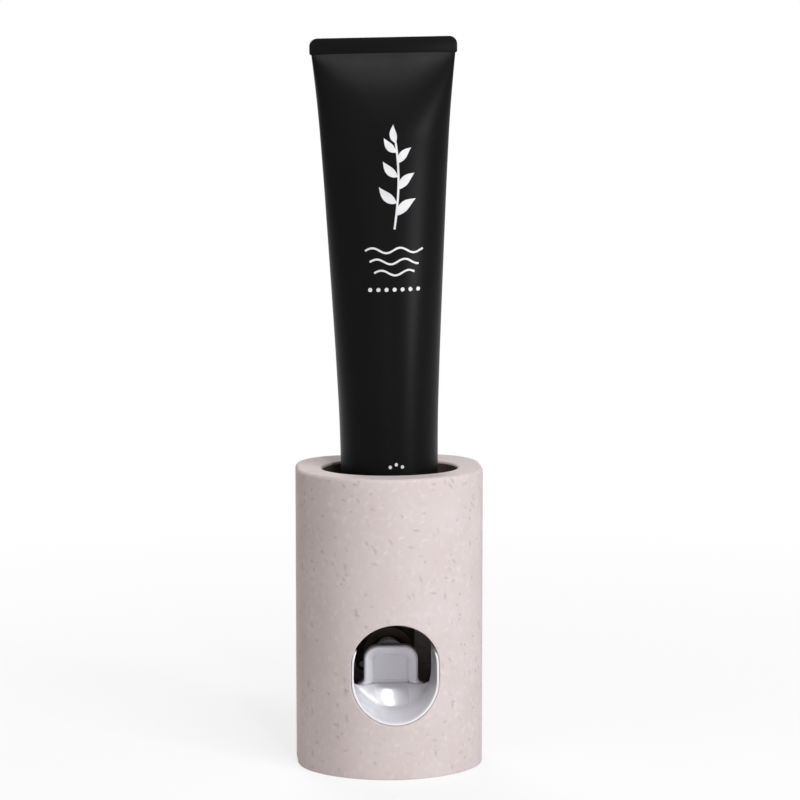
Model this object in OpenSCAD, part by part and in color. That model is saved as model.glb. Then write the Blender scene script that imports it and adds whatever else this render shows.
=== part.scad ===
// Push-type toothpaste dispenser with a tube standing in it.
// Millimetres. X runs to the right, Y to the back and Z up.
// The origin is on the table, under the middle of the dispenser.

/* [Housing] */
// Width of the housing
shell_w = 68; // [67:0.5:70]
// Depth of the housing, without the wall plate
shell_d = 59; // [58.5:0.5:61]
// Height of the housing
shell_h = 110; // [108:1:116]
// Thickness of the housing wall
wall = 2.4; // [2:0.1:2.5]
// Radius of the broad front curve
front_r = 36.5; // [36:0.5:38]
// Radius of the curves that join the front to the sides
side_r = 24; // [23.5:0.5:24.5]
// Radius of the two back corners
corner_r = 20; // [18:1:20]
// Rounding of the top edge
rim_r = 1.5; // [1:0.1:1.8]

/* [Tube opening] */
// Width of the oval opening in the top
well_w = 49.6; // [48:0.2:50]
// Depth of the oval opening in the top
well_d = 38.6; // [38:0.2:39]
// How far the collar of the opening reaches down
skirt_h = 26; // [20:1:28]

/* [Brush opening] */
// Radius of the round ends of the front hole
hole_r = 16; // [15.8:0.1:16.2]
// Distance between the two end centres of the front hole
hole_rise = 5; // [4.5:0.5:5.5]
// Height of the middle of the front hole
hole_z = 38.4; // [38:0.1:39]
// Width of the channel that guides the brush head
channel_w = 12.5; // [11:0.5:13]

/* [Push lever] */
// Width of the lever's tongue
tongue_w = 19.8; // [19:0.2:20.4]
// Height of the top of the tongue
tongue_top = 44.7; // [44:0.1:45]
// Distance from the front of the housing back to the tongue
tongue_depth = 23; // [22.5:0.1:23]
// Diameter of the lever's pin
pin_d = 3; // [2.5:0.1:3]

/* [Pump] */
// Bore of the pump
bore_d = 14; // [12:0.5:14]
// Height of the pump's axis
bore_z = 40; // [39.5:0.1:40.5]
// Travel of the piston
stroke = 6.3; // [5:0.1:6.3]

/* [Tube] */
// Diameter of the round part of the tube
tube_d = 35; // [33:0.5:35]
// Height of the top of the tube above the table
tube_top = 266; // [240:1:280]
// Lean of the tube to the left, in degrees
tube_lean = 1.1; // [0:0.1:1.2]
// Width of the pressed band that closes the tube
crimp_w = 53; // [50:0.5:54]

/* [Hidden] */
$fn = 48;
eps = 0.01;

// Wall plate behind the housing
plate_gap = 0.4;
plate_t = 1.6;
pad_t = 1;
total_d = shell_d + plate_gap + plate_t + pad_t;

// Places in the depth
front_y = -total_d / 2;
back_y = front_y + shell_d;
axis_y = front_y + 29;

// Centres of the curves of the housing's plan
side_x = shell_w / 2 - side_r;
front_cy = front_y + front_r;
side_cy = front_cy - sqrt(pow(front_r - side_r, 2) - pow(side_x, 2));
join_angle = atan2(side_cy - front_cy, side_x);
corner_x = shell_w / 2 - corner_r;
corner_cy = back_y - corner_r;

// Heights inside the housing
top_t = 3;
skirt_t = 2;
deck_z = 66;
deck_t = 2.4;
deck_top = deck_z + deck_t;
bridge_z = 56.6;
boss_r = 3.5;
screw_r = 1.5;
screw_head_r = 2.9;
screw_head_h = 2;
thread_fit = 0.02;
screw_gap = 0.2;

// Front lining and brush tunnel
lining_gap = 0.15;
lip_t = 0.8;
tunnel_back = front_y + tongue_depth - 0.3;
slot_half_w = 14.3;
slot_floor = 30.3;
slot_end_r = 2.1;
side_t = 1.2;
ramp_rise = 1.6;
ramp_run = 7.5;
ramp_y = front_y + 21.9;
ramp_t = 2.4;
ramp_back = ramp_y + 1.4;
lining_top = 46.8;

// Lever and its pivot
tongue_y = front_y + tongue_depth;
tongue_t = 3.4;
tongue_back = tongue_y + tongue_t;
tongue_corner = 5.3;
channel_deep = 2.1;
dish = 1.6;
pivot_y = tongue_back + 0.4;
pivot_z = 26.5;
hub_r = 3.2;
hub_w = 15.8;
ear_gap = 0.3;
ear_t = 3;
run_fit = 0.05;

// Pump along the depth
nose_r = 2.5;
nose_gap = 0.3;
nose_y = tongue_back + nose_gap + nose_r;
collar_y = nose_y + 0.6;
collar_t = 1.4;
collar_r = 5.5;
rod_r = 2;
pump_front = tongue_back + 8.2;
seat_y = pump_front + 6.2;
guide_t = 1.6;
bore_y0 = seat_y + guide_t;
barrel_r = bore_d / 2 + 2;
flange_t = 2.6;
gasket_t = 0.6;
cap_t = 1.4;
cap_half_w = 11;
cap_z0 = 29;
cap_z1 = 65.5;
piston_y = bore_y0 + 0.3;
piston_len = 4.2;
bore_y1 = piston_y + piston_len + stroke + 1;
duct_x = 4;
duct_z = 60.2;
duct_r = 2.2;
port_r = 1.5;
port_y = bore_y1 - 1.8;
nozzle_y = axis_y - 15;

// Tube inlet stack, measured up the tube's axis
chamber_r = 6;
chamber_z = 63.4;
seat_z = 69;
seat_t = 2;
seat_r = 8.6;
seal_z = seat_z + seat_t;
seal_t = 1.8;
seal_r = 10.8;
inlet_boss_r = 12.5;
neck_z = 74;
neck_r = 6.4;
shoulder_z = 87.5;
sleeve_z = 98;

// Hooks of the wall plate
hook_x = 12;
hook_neck_w = 4.4;
hook_head_w = 9.2;
hook_z = 88;
hook_h = 8;
hook_travel = 16.5;

// Places of the corner screws, seen from above
screw_spots = [for (side = [-1, 1]) each [
    [side * (side_x + 18.6 * cos(42)), side_cy - 18.6 * sin(42)],
    [side * (corner_x + 14.6 * cos(45)), corner_cy + 14.6 * sin(45)]]];

// Points of an arc, without its last point
function arc(cx, cy, r, a0, a1, n) =
    [for (i = [0 : n - 1]) let (a = a0 + (a1 - a0) * i / n) [cx + r * cos(a), cy + r * sin(a)]];

// Plan of the housing, moved inwards by an inset
function plan(inset) = concat(
    arc(0, front_cy, front_r - inset, 180 - join_angle, 360 + join_angle, 24),
    arc(side_x, side_cy, side_r - inset, join_angle, 0, 8),
    arc(corner_x, corner_cy, corner_r - inset, 0, 90, 14),
    arc(-corner_x, corner_cy, corner_r - inset, 90, 180, 14),
    arc(-side_x, side_cy, side_r - inset, 180, 180 - join_angle, 8));

function oval(half_w, half_d, n) =
    [for (i = [0 : n - 1]) let (a = 360 * i / n) [half_w * cos(a), half_d * sin(a)]];

// Upright stadium about the middle of the front hole, with end radius r
function stadium(r) = concat(
    arc(0, hole_z + hole_rise / 2, r, 0, 180, 24),
    arc(0, hole_z - hole_rise / 2, r, 180, 360, 24));

// Rectangle with rounded corners
function rounded(x0, x1, z0, z1, r) = concat(
    arc(x1 - r, z1 - r, r, 0, 90, 8),
    arc(x0 + r, z1 - r, r, 90, 180, 8),
    arc(x0 + r, z0 + r, r, 180, 270, 8),
    arc(x1 - r, z0 + r, r, 270, 360, 8));

// Rings of points joined into one closed solid
module skin(rings) {
    n = len(rings[0]);
    last = len(rings) - 1;
    points = [for (ring = rings) each ring];
    sides = [for (k = [0 : last - 1]) for (i = [0 : n - 1]) let (j = (i + 1) % n)
        each [[k * n + i, (k + 1) * n + j, k * n + j], [k * n + i, (k + 1) * n + i, (k + 1) * n + j]]];
    ends = [[for (i = [0 : n - 1]) i], [for (i = [n - 1 : -1 : 0]) last * n + i]];
    polyhedron(points, concat(sides, ends));
}

// Outline drawn in X and Z, made thick along Y
module along_y(y0, y1, points) {
    translate([0, y1, 0])
        rotate([90, 0, 0])
            linear_extrude(y1 - y0)
                polygon(points);
}

module rod_y(x, z, r, y0, y1) {
    translate([x, y0, z])
        rotate([-90, 0, 0])
            cylinder(r = r, h = y1 - y0);
}

module rod_z(x, y, r, z0, z1) {
    translate([x, y, z0])
        cylinder(r = r, h = z1 - z0);
}

module box(x0, x1, y0, y1, z0, z1) {
    translate([x0, y0, z0])
        cube([x1 - x0, y1 - y0, z1 - z0]);
}

module slab(z0, z1, inset) {
    translate([0, 0, z0])
        linear_extrude(z1 - z0)
            polygon(plan(inset));
}

// Ring-shaped piece about the tube's axis, from a profile of radius and height
module turned(profile) {
    translate([0, axis_y, 0])
        rotate_extrude()
            polygon(profile);
}

// Housing

module shell_outside() {
    edge = 0.6;
    rim = [for (a = [0 : 30 : 90]) [rim_r * (1 - cos(a)), shell_h - rim_r + rim_r * sin(a)]];
    levels = concat([[edge, 0], [0, edge]], rim);
    skin([for (level = levels) [for (p = plan(level[0])) [p[0], p[1], level[1]]]]);
}

module well_prism(grow, z0, z1) {
    translate([0, axis_y, z0])
        linear_extrude(z1 - z0)
            polygon(oval(well_w / 2 + grow, well_d / 2 + grow, 72));
}

module hook_slots() {
    y0 = back_y - wall - 1;
    y1 = back_y + 1;
    rest_top = hook_z + hook_h + 0.4;
    window_top = hook_z - hook_travel + hook_h + 0.7;
    window_low = hook_z - hook_travel - 1.3;
    for (side = [-1, 1]) {
        x = side * hook_x;
        box(x - hook_neck_w / 2 - 0.4, x + hook_neck_w / 2 + 0.4, y0, y1, window_low, rest_top);
        box(x - hook_head_w / 2 - 0.5, x + hook_head_w / 2 + 0.5, y0, y1, window_low, window_top);
    }
}

module outer_shell() {
    low_boss_z = 5.2;
    low_boss_top = 17;
    color([0.80, 0.75, 0.72])
    difference() {
        union() {
            difference() {
                shell_outside();
                slab(-1, shell_h - top_t, wall);
            }
            well_prism(skirt_t, shell_h - top_t - skirt_h, shell_h - top_t + eps);
            intersection() {
                slab(0, shell_h - 1, 1);
                union() for (spot = screw_spots) {
                    rod_z(spot[0], spot[1], boss_r, low_boss_z, low_boss_top);
                    rod_z(spot[0], spot[1], boss_r, deck_top, shell_h - 1);
                }
            }
        }
        well_prism(0, shell_h - top_t - skirt_h - 1, shell_h + 1);
        along_y(front_y - 1, front_y + 10, stadium(hole_r));
        hook_slots();
        for (spot = screw_spots) {
            rod_z(spot[0], spot[1], screw_r + thread_fit, low_boss_z - 1, low_boss_top - 1.5);
            rod_z(spot[0], spot[1], screw_r + thread_fit, deck_top - 1, deck_top + 15);
        }
    }
}

module base_cover() {
    plate = 2.4;
    pad_top = 4.9;
    color([0.72, 0.67, 0.64])
    difference() {
        union() {
            slab(0, plate, wall + 0.3);
            intersection() {
                slab(0, pad_top, wall + 0.3);
                union() for (spot = screw_spots)
                    rod_z(spot[0], spot[1], boss_r + 1.5, 0, pad_top);
            }
            for (x = [-12, 0, 12])
                box(x - 0.8, x + 0.8, axis_y - 18, axis_y + 22, plate - eps, plate + 1.6);
        }
        for (spot = screw_spots) {
            rod_z(spot[0], spot[1], screw_head_r + screw_gap, -1, screw_head_h + 0.8);
            rod_z(spot[0], spot[1], screw_r + screw_gap, 0, pad_top + 1);
        }
    }
}

// Pan-head screw with a cross recess, standing head down at a spot
module screw_up(x, y, z, length) {
    difference() {
        union() {
            rod_z(x, y, screw_head_r, z, z + screw_head_h);
            rod_z(x, y, screw_r, z + screw_head_h - eps, z + screw_head_h + length);
        }
        for (turn = [0, 90])
            translate([x, y, z])
                rotate([0, 0, turn])
                    box(-1.6, 1.6, -0.35, 0.35, -1, 1.1);
    }
}

module base_screws() {
    color("silver")
    for (spot = screw_spots)
        screw_up(spot[0], spot[1], 0.8, 12);
}

module pump_screws() {
    color("silver")
    for (spot = screw_spots)
        screw_up(spot[0], spot[1], deck_z - screw_head_h, 14);
}

// Front lining, lever and pin

// Outline of the back end: the stadium with its sides flattened
function tunnel_end(r, half_w) = concat(
    arc(0, hole_z + hole_rise / 2, r, acos(half_w / r), 180 - acos(half_w / r), 24),
    arc(0, hole_z - hole_rise / 2, half_w, 180, 360, 24));

module tunnel(r, half_w, back) {
    front = front_y - 0.5;
    hull() {
        along_y(front - eps, front, stadium(r));
        along_y(back - eps, back, tunnel_end(r, half_w));
    }
}

// Outline drawn in Y and Z, made thick along X
module along_x(half_w, points) {
    translate([-half_w, 0, 0])
        rotate([90, 0, 90])
            linear_extrude(2 * half_w)
                polygon(points);
}

// Everything in front of the steep wall that leads up to the tongue, moved back by a shift
module before_ramp(shift, back) {
    low_z = slot_floor - ramp_rise * ramp_run;
    along_x(20, [[ramp_y + shift, slot_floor], [ramp_y + shift - ramp_run, low_z],
        [front_y - 2, low_z], [front_y - 2, 62], [back, 62], [back, slot_floor]]);
}

// Channel that guides the brush head, sunk in the steep wall
module channel_ramp() {
    sunk = 0.9;
    run = 5.5;
    along_x(channel_w / 2, [[ramp_y + sunk, slot_floor + eps],
        [ramp_y + sunk - run, slot_floor - ramp_rise * run],
        [ramp_y - 2 * run, slot_floor - ramp_rise * run], [ramp_y - run, slot_floor + eps]]);
}

module lever_ears() {
    for (side = [-1, 1]) {
        inner = hub_w / 2 + ear_gap;
        x0 = side > 0 ? inner : -inner - ear_t;
        translate([x0, pivot_y, pivot_z])
            rotate([0, 90, 0])
                cylinder(r = hub_r, h = ear_t);
        box(x0, x0 + ear_t, ramp_y - 0.1, pivot_y, pivot_z - hub_r, pivot_z + hub_r);
    }
}

module front_bezel() {
    flange_grow = 2.6;
    outside_r = hole_r - lining_gap;
    color([0.93, 0.93, 0.93])
    difference() {
        union() {
            intersection() {
                tunnel(outside_r, slot_half_w + side_t, ramp_back);
                before_ramp(ramp_t, tunnel_back);
                slab(0, shell_h, 0.25);
            }
            intersection() {
                along_y(front_y, front_y + 12, stadium(hole_r + flange_grow));
                difference() {
                    slab(hole_z - 24, hole_z + 24, wall + 0.1);
                    slab(hole_z - 25, hole_z + 25, wall + 1.7);
                }
            }
            lever_ears();
        }
        intersection() {
            tunnel(outside_r - lip_t, slot_half_w, tunnel_back + 1);
            before_ramp(0, tunnel_back + 2);
        }
        channel_ramp();
        box(-20, 20, front_y - 1, tunnel_back + 1, lining_top, 62);
        translate([-15, pivot_y, pivot_z])
            rotate([0, 90, 0])
                cylinder(r = pin_d / 2 + thread_fit, h = 30);
    }
}

module lever_pin() {
    color("silver")
    translate([-hub_w / 2 - ear_gap - ear_t + 0.2, pivot_y, pivot_z])
        rotate([0, 90, 0])
            cylinder(r = pin_d / 2, h = hub_w + 2 * (ear_gap + ear_t) - 0.4);
}

module push_lever() {
    half = tongue_w / 2;
    low = slot_floor + 0.1;
    root = half + slot_end_r;
    root_z = low + slot_end_r;
    frame_w = half - channel_w / 2;
    floor_y = tongue_y + channel_deep;
    color([0.93, 0.93, 0.93])
    difference() {
        union() {
            along_y(tongue_y, tongue_back, concat(
                arc(-root, root_z, slot_end_r, 360, 270, 6), [[-root, low]],
                arc(root, root_z, slot_end_r, 270, 180, 6), [[half, root_z]],
                arc(half - tongue_corner, tongue_top - tongue_corner, tongue_corner, 0, 90, 10),
                arc(tongue_corner - half, tongue_top - tongue_corner, tongue_corner, 90, 180, 10)));
            box(-hub_w / 2, hub_w / 2, pivot_y - hub_r, tongue_back, pivot_z, low + 1);
            translate([-hub_w / 2, pivot_y, pivot_z])
                rotate([0, 90, 0])
                    cylinder(r = hub_r, h = hub_w);
        }
        translate([0, 0, low - 8])
            linear_extrude(tongue_top - frame_w - low + 8)
                polygon([[-half + 0.4, tongue_y - eps], [-half + frame_w, tongue_y + dish],
                    [-half + frame_w, floor_y], [half - frame_w, floor_y],
                    [half - frame_w, tongue_y + dish], [half - 0.4, tongue_y - eps]]);
        translate([-half, 0, 0])
            rotate([90, 0, 90])
                linear_extrude(2 * half)
                    polygon([[tongue_y - eps, tongue_top - 0.4],
                        [tongue_y + dish, tongue_top - frame_w],
                        [tongue_y - eps, tongue_top - frame_w]]);
        translate([-hub_w / 2 - 1, pivot_y, pivot_z])
            rotate([0, 90, 0])
                cylinder(r = pin_d / 2 + run_fit, h = hub_w + 2);
    }
}

// Pump

module cap_outline(y0, y1) {
    along_y(y0, y1, rounded(-cap_half_w, cap_half_w, cap_z0, cap_z1, 3));
}

cap_screw_x = 8.6;
cap_screw_zs = [cap_z0 + 2.6, cap_z1 - 2.6];

module each_cap_screw() {
    for (x = [-cap_screw_x, cap_screw_x])
        for (z = cap_screw_zs)
            translate([x, 0, z])
                children();
}

module pump_body() {
    web_half_w = 8;
    color([0.16, 0.13, 0.12])
    difference() {
        union() {
            slab(deck_z, deck_top, wall + 0.6);
            rod_z(0, axis_y, inlet_boss_r, bridge_z, seal_z + seal_t);
            box(-web_half_w, web_half_w, nozzle_y - 5.5, bore_y1, bridge_z, deck_z + eps);
            box(-web_half_w, web_half_w, seat_y, bore_y1, bore_z, bridge_z + eps);
            rod_y(0, bore_z, barrel_r, pump_front, bore_y1);
            cap_outline(bore_y1 - flange_t, bore_y1);
        }
        rod_y(0, bore_z, collar_r + 0.7, pump_front - 1, seat_y);
        rod_y(0, bore_z, rod_r + run_fit, seat_y - 1, bore_y0 + 1);
        rod_y(0, bore_z, bore_d / 2, bore_y0, bore_y1 + 1);
        rod_z(0, axis_y, chamber_r, chamber_z, seat_z + 1);
        rod_z(0, axis_y, seat_r, seat_z, seal_z + 1);
        rod_z(0, axis_y, seal_r, seal_z, seal_z + seal_t + 1);
        rod_z(duct_x, axis_y, 1.9, duct_z, chamber_z + 1);
        rod_y(duct_x, duct_z, duct_r, axis_y - duct_r, bore_y1 + 1);
        rod_y(-duct_x, duct_z, duct_r, nozzle_y - duct_r, bore_y1 + 1);
        for (x = [-duct_x, duct_x])
            rod_z(x, port_y, port_r, bore_z + 3, duct_z);
        translate([-duct_x, nozzle_y, duct_z])
            rotate([0, 90, 0])
                cylinder(r = 1.9, h = duct_x + 2);
        rod_z(0, nozzle_y, 3 + thread_fit, bridge_z - 1, duct_z);
        for (spot = screw_spots)
            rod_z(spot[0], spot[1], screw_r + screw_gap, deck_z - 1, deck_top + 1);
        each_cap_screw()
            rod_y(0, 0, 1.1 + thread_fit, bore_y1 - flange_t - 1, bore_y1 + 1);
    }
}

module cap_gasket() {
    color([0.75, 0.75, 0.76])
    difference() {
        cap_outline(bore_y1, bore_y1 + gasket_t);
        rod_y(0, bore_z, bore_d / 2, bore_y1 - 1, bore_y1 + 2);
        for (x = [-duct_x, duct_x])
            rod_y(x, duct_z, duct_r, bore_y1 - 1, bore_y1 + 2);
        each_cap_screw()
            rod_y(0, 0, 1.3, bore_y1 - 1, bore_y1 + 2);
    }
}

module rear_cap() {
    y0 = bore_y1 + gasket_t;
    color([0.16, 0.13, 0.12])
    difference() {
        cap_outline(y0, y0 + cap_t);
        each_cap_screw() {
            rod_y(0, 0, 1.3, y0 - 1, y0 + 3);
            rod_y(0, 0, 2.2, y0 + cap_t - 0.9, y0 + 3);
        }
    }
}

module cap_screws() {
    head_y = bore_y1 + gasket_t + cap_t - 0.9;
    color("silver")
    each_cap_screw() {
        rod_y(0, 0, 2, head_y, head_y + 0.8);
        rod_y(0, 0, 1.1, head_y - 4, head_y + eps);
    }
}

module piston() {
    r = bore_d / 2 - 0.4;
    groove_r = r - 1.4;
    color([0.93, 0.93, 0.93])
    difference() {
        union() {
            rod_y(0, bore_z, r, piston_y, piston_y + 1.1);
            rod_y(0, bore_z, groove_r, piston_y, piston_y + piston_len);
            rod_y(0, bore_z, r, piston_y + 3.1, piston_y + piston_len);
        }
        rod_y(0, bore_z, rod_r + thread_fit, piston_y - 1, piston_y + 2.5);
    }
}

module piston_seal() {
    groove_r = bore_d / 2 - 1.8;
    color([0.75, 0.75, 0.76])
    difference() {
        rod_y(0, bore_z, bore_d / 2 - run_fit, piston_y + 1.15, piston_y + 3.05);
        rod_y(0, bore_z, groove_r + thread_fit, piston_y, piston_y + piston_len);
    }
}

module piston_rod() {
    color([0.93, 0.93, 0.93])
    union() {
        translate([0, nose_y, bore_z])
            sphere(r = nose_r);
        rod_y(0, bore_z, nose_r, nose_y, collar_y + eps);
        rod_y(0, bore_z, collar_r, collar_y, collar_y + collar_t);
        rod_y(0, bore_z, rod_r, collar_y + collar_t - eps, piston_y + 2.4);
    }
}

module return_spring() {
    wire_r = 0.3;
    coil_r = 4.2;
    turns = 4;
    y0 = collar_y + collar_t + wire_r + 0.05;
    y1 = seat_y - wire_r - 0.05;
    steps = 12 * turns;
    color("silver")
    translate([0, 0, bore_z])
    skin([for (k = [0 : steps])
        let (a = -360 * turns * k / steps, y = y0 + (y1 - y0) * k / steps)
        [for (i = [0 : 5])
            let (b = 60 * i, r = coil_r + wire_r * cos(b))
            [r * cos(a), y + wire_r * sin(b), r * sin(a)]]]);
}

module outlet_nozzle() {
    color([0.93, 0.93, 0.93])
    difference() {
        union() {
            rod_z(0, nozzle_y, 3, bridge_z - eps, duct_z - 2.2);
            rod_z(0, nozzle_y, 4.6, bridge_z - 1, bridge_z);
            rod_z(0, nozzle_y, 3.4, bridge_z - 1.8, bridge_z - 1 + eps);
        }
        rod_z(0, nozzle_y, 2.1, bridge_z - 2, duct_z);
    }
}

module outlet_valve() {
    color([0.75, 0.75, 0.76])
    difference() {
        union() {
            rod_z(0, nozzle_y, 2.05, bridge_z - 1.2, bridge_z + 1);
            box(-1.7, 1.7, nozzle_y - 0.5, nozzle_y + 0.5, bridge_z - 1.7, bridge_z - 1.1);
        }
        rod_z(0, nozzle_y, 1.4, bridge_z - 0.4, bridge_z + 2);
    }
}

// Tube inlet

module valve_seat() {
    color([0.93, 0.93, 0.93])
    difference() {
        rod_z(0, axis_y, seat_r - 0.05, seat_z, seal_z - 0.05);
        rod_z(0, axis_y, 1.3, seat_z - 1, seal_z + 1);
        for (a = [0 : 72 : 288])
            rod_z(3.6 * cos(a), axis_y + 3.6 * sin(a), 1.3, seat_z - 1, seal_z + 1);
    }
}

module inlet_valve() {
    color([0.75, 0.75, 0.76])
    union() {
        rod_z(0, axis_y, chamber_r - 0.6, seat_z - 0.85, seat_z - 0.05);
        rod_z(0, axis_y, 1.25, seat_z - 0.1, seal_z + 0.1);
        rod_z(0, axis_y, 1.9, seal_z, seal_z + 0.9);
    }
}

module inlet_seal() {
    grip_r = neck_r + 0.1;
    low = seal_z + seal_t;
    color([0.75, 0.75, 0.76])
    turned([[5, seal_z], [seal_r - 0.1, seal_z], [seal_r - 0.1, low - 0.05], [8.1, low - 0.05],
        [8.1, 79], [9.8, 82], [9, 82.6], [grip_r + 0.4, 79.4], [grip_r + 0.4, 78.4],
        [grip_r, 78], [grip_r, 76.8], [grip_r + 0.4, 76.4], [grip_r + 0.4, low], [5, low]]);
}

module seal_ring() {
    low = seal_z + seal_t;
    color([0.93, 0.93, 0.93])
    turned([[8.4, low], [inlet_boss_r + 0.1, low], [inlet_boss_r + 0.1, low - 3],
        [inlet_boss_r + 1.6, low - 3], [inlet_boss_r + 1.6, low + 1.5], [8.4, low + 1.5]]);
}

// Wall plate

module wall_bracket() {
    y0 = back_y + plate_gap;
    head_y = back_y - wall - 0.6;
    color([0.93, 0.93, 0.93])
    union() {
        along_y(y0, y0 + plate_t, rounded(-22, 22, 60, 104, 6));
        for (side = [-1, 1]) {
            x = side * hook_x;
            box(x - hook_neck_w / 2, x + hook_neck_w / 2, head_y - 1, y0 + eps, hook_z, hook_z + hook_h);
            box(x - hook_head_w / 2, x + hook_head_w / 2, head_y - 1.5, head_y, hook_z, hook_z + hook_h);
        }
    }
}

module adhesive_pad() {
    y0 = back_y + plate_gap + plate_t;
    color([0.55, 0.55, 0.55])
    along_y(y0, y0 + pad_t, rounded(-20, 20, 62, 102, 5));
}

// Tube

module tube_shoulder() {
    tube_r = tube_d / 2;
    pitch = 3;
    ridges = [for (k = [0 : 2]) let (z = shoulder_z - 3.2 - pitch * k)
        each [[neck_r - 0.5, z + 0.9], [neck_r, z + 0.3], [neck_r, z - 0.3], [neck_r - 0.5, z - 0.9]]];
    color([0.10, 0.10, 0.10])
    turned(concat([[4.2, neck_z], [4.2, shoulder_z + 1], [tube_r - 2.2, sleeve_z - 0.6],
        [tube_r - 0.2, sleeve_z - 0.6], [tube_r - 0.2, sleeve_z - 2], [neck_r + 1, shoulder_z]],
        [[neck_r - 0.5, shoulder_z]], ridges, [[neck_r - 0.5, neck_z]]));
}

// Height, half width and half depth of the tube's sections, above the shoulder
crimp_h = 6;
crimp_t = 1.4;
tube_len = tube_top - sleeve_z;
crimp_z = tube_len - crimp_h;
tube_sections = [
    [0, tube_d / 2, tube_d / 2],
    [tube_len * 0.16, tube_d / 2, tube_d / 2],
    [tube_len * 0.35, tube_d / 2 + 1.3, tube_d / 2 - 1.3],
    [tube_len * 0.52, tube_d / 2 + 2.9, tube_d / 2 - 3.2],
    [tube_len * 0.69, tube_d / 2 + 4.5, tube_d / 2 - 5.5],
    [tube_len * 0.86, tube_d / 2 + 6.4, tube_d / 2 - 9.3],
    [crimp_z - 4.5, crimp_w / 2 - 1.3, 3.4],
    [crimp_z + 0.5, crimp_w / 2 - 0.3, crimp_t / 2 - 0.1]];
half_widths = [for (s = tube_sections) [s[0], s[1]]];
half_depths = [for (s = tube_sections) [s[0], s[2]]];

// Smooth value between the sections, from a table of height and value
function eased(h, table) =
    let (d = 5) (lookup(h - d, table) + 2 * lookup(h, table) + lookup(h + d, table)) / 4;

module tube_sleeve() {
    rings = 26;
    sides = 44;
    last_h = crimp_z + 0.5;
    color([0.10, 0.10, 0.10])
    translate([0, axis_y, sleeve_z])
    rotate([0, -tube_lean, 0])
    union() {
        skin([for (k = [0 : rings])
            let (h = last_h * (1 - pow(1 - k / rings, 1.4)),
                w = k == rings ? lookup(h, half_widths) : eased(h, half_widths),
                d = k == rings ? lookup(h, half_depths) : eased(h, half_depths),
                edge = (crimp_t / 2 - 0.15) * pow(h / last_h, 4))
            [for (p = oval(w, d - edge, sides)) [p[0], p[1] + edge * sign(round(p[1] * 1000)), h]]]);
        along_y(-crimp_t / 2, crimp_t / 2,
            rounded(-crimp_w / 2, crimp_w / 2, crimp_z, tube_len, 2.4));
    }
}

outer_shell();
front_bezel();
push_lever();
lever_pin();
pump_body();
rear_cap();
cap_gasket();
cap_screws();
piston();
piston_seal();
piston_rod();
return_spring();
valve_seat();
inlet_valve();
inlet_seal();
seal_ring();
outlet_nozzle();
outlet_valve();
pump_screws();
base_cover();
base_screws();
wall_bracket();
adhesive_pad();
tube_shoulder();
tube_sleeve();
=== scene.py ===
import math

import bmesh
import bpy
import numpy as np
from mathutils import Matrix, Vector


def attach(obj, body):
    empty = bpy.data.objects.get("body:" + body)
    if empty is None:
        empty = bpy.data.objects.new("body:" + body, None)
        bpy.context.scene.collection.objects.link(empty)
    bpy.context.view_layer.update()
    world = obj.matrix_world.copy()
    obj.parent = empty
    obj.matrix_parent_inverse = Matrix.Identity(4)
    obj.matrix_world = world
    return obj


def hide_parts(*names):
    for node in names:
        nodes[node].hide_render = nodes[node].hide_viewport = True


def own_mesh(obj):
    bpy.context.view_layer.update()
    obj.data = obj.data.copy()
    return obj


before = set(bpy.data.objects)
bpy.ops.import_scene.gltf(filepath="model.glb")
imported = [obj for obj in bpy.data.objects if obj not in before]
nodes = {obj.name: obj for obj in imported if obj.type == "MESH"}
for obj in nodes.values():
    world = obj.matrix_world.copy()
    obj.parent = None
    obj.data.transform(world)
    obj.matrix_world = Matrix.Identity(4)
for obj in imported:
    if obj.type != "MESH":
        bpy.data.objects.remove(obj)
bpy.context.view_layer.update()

# A millimetre and the reach within which points are joined, in metres
MM = 0.001
WELD = 2e-6

# Sizes in millimetres, the same as in the CAD model
HALF_W = 34
FRONT_Y = -31.0
BACK_Y = 28.0
AXIS_Y = -2.0
SHELL_H = 110.0
WALL = 2.4
TOP_T = 3.0
FRONT_R = 36.5
FRONT_CY = FRONT_Y + FRONT_R
FRONT_HALF = 22
JOIN_ANGLE = 36.87
SIDE_X, SIDE_CY, SIDE_R = 10.0, -2.0, 24.0
CORNER_X, CORNER_CY, CORNER_R = 14.0, 8.0, 20.0
RIM_R = 1.5
WELL_W, WELL_D = 24.8, 19.3
SKIRT_T = 2.0
SKIRT_Z = 81.0
HOLE_R = 16.0
HOLE_LOW, HOLE_HIGH = 35.9, 40.9
HOLE_Z = (HOLE_LOW + HOLE_HIGH) / 2
PIVOT_Y, PIVOT_Z = -4.2, 26.5
SLEEVE_Z = 98.0
TUBE_LEN = 168.0
TUBE_LEAN = math.radians(0.77)
TUBE_TWIST = math.radians(7)
CRIMP_W, CRIMP_T, CRIMP_H = 54.0, 1.4, 6.0


def add_object(name, data):
    made = bpy.data.objects.new(name, data)
    bpy.context.scene.collection.objects.link(made)
    return made


def turn_outwards(mesh, weld=0.0):
    """Points every face outwards, after joining points less than weld metres apart."""
    bm = bmesh.new()
    bm.from_mesh(mesh)
    if weld:
        bmesh.ops.remove_doubles(bm, verts=bm.verts, dist=weld)
    bmesh.ops.recalc_face_normals(bm, faces=bm.faces)
    bm.to_mesh(mesh)
    bm.free()


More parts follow.
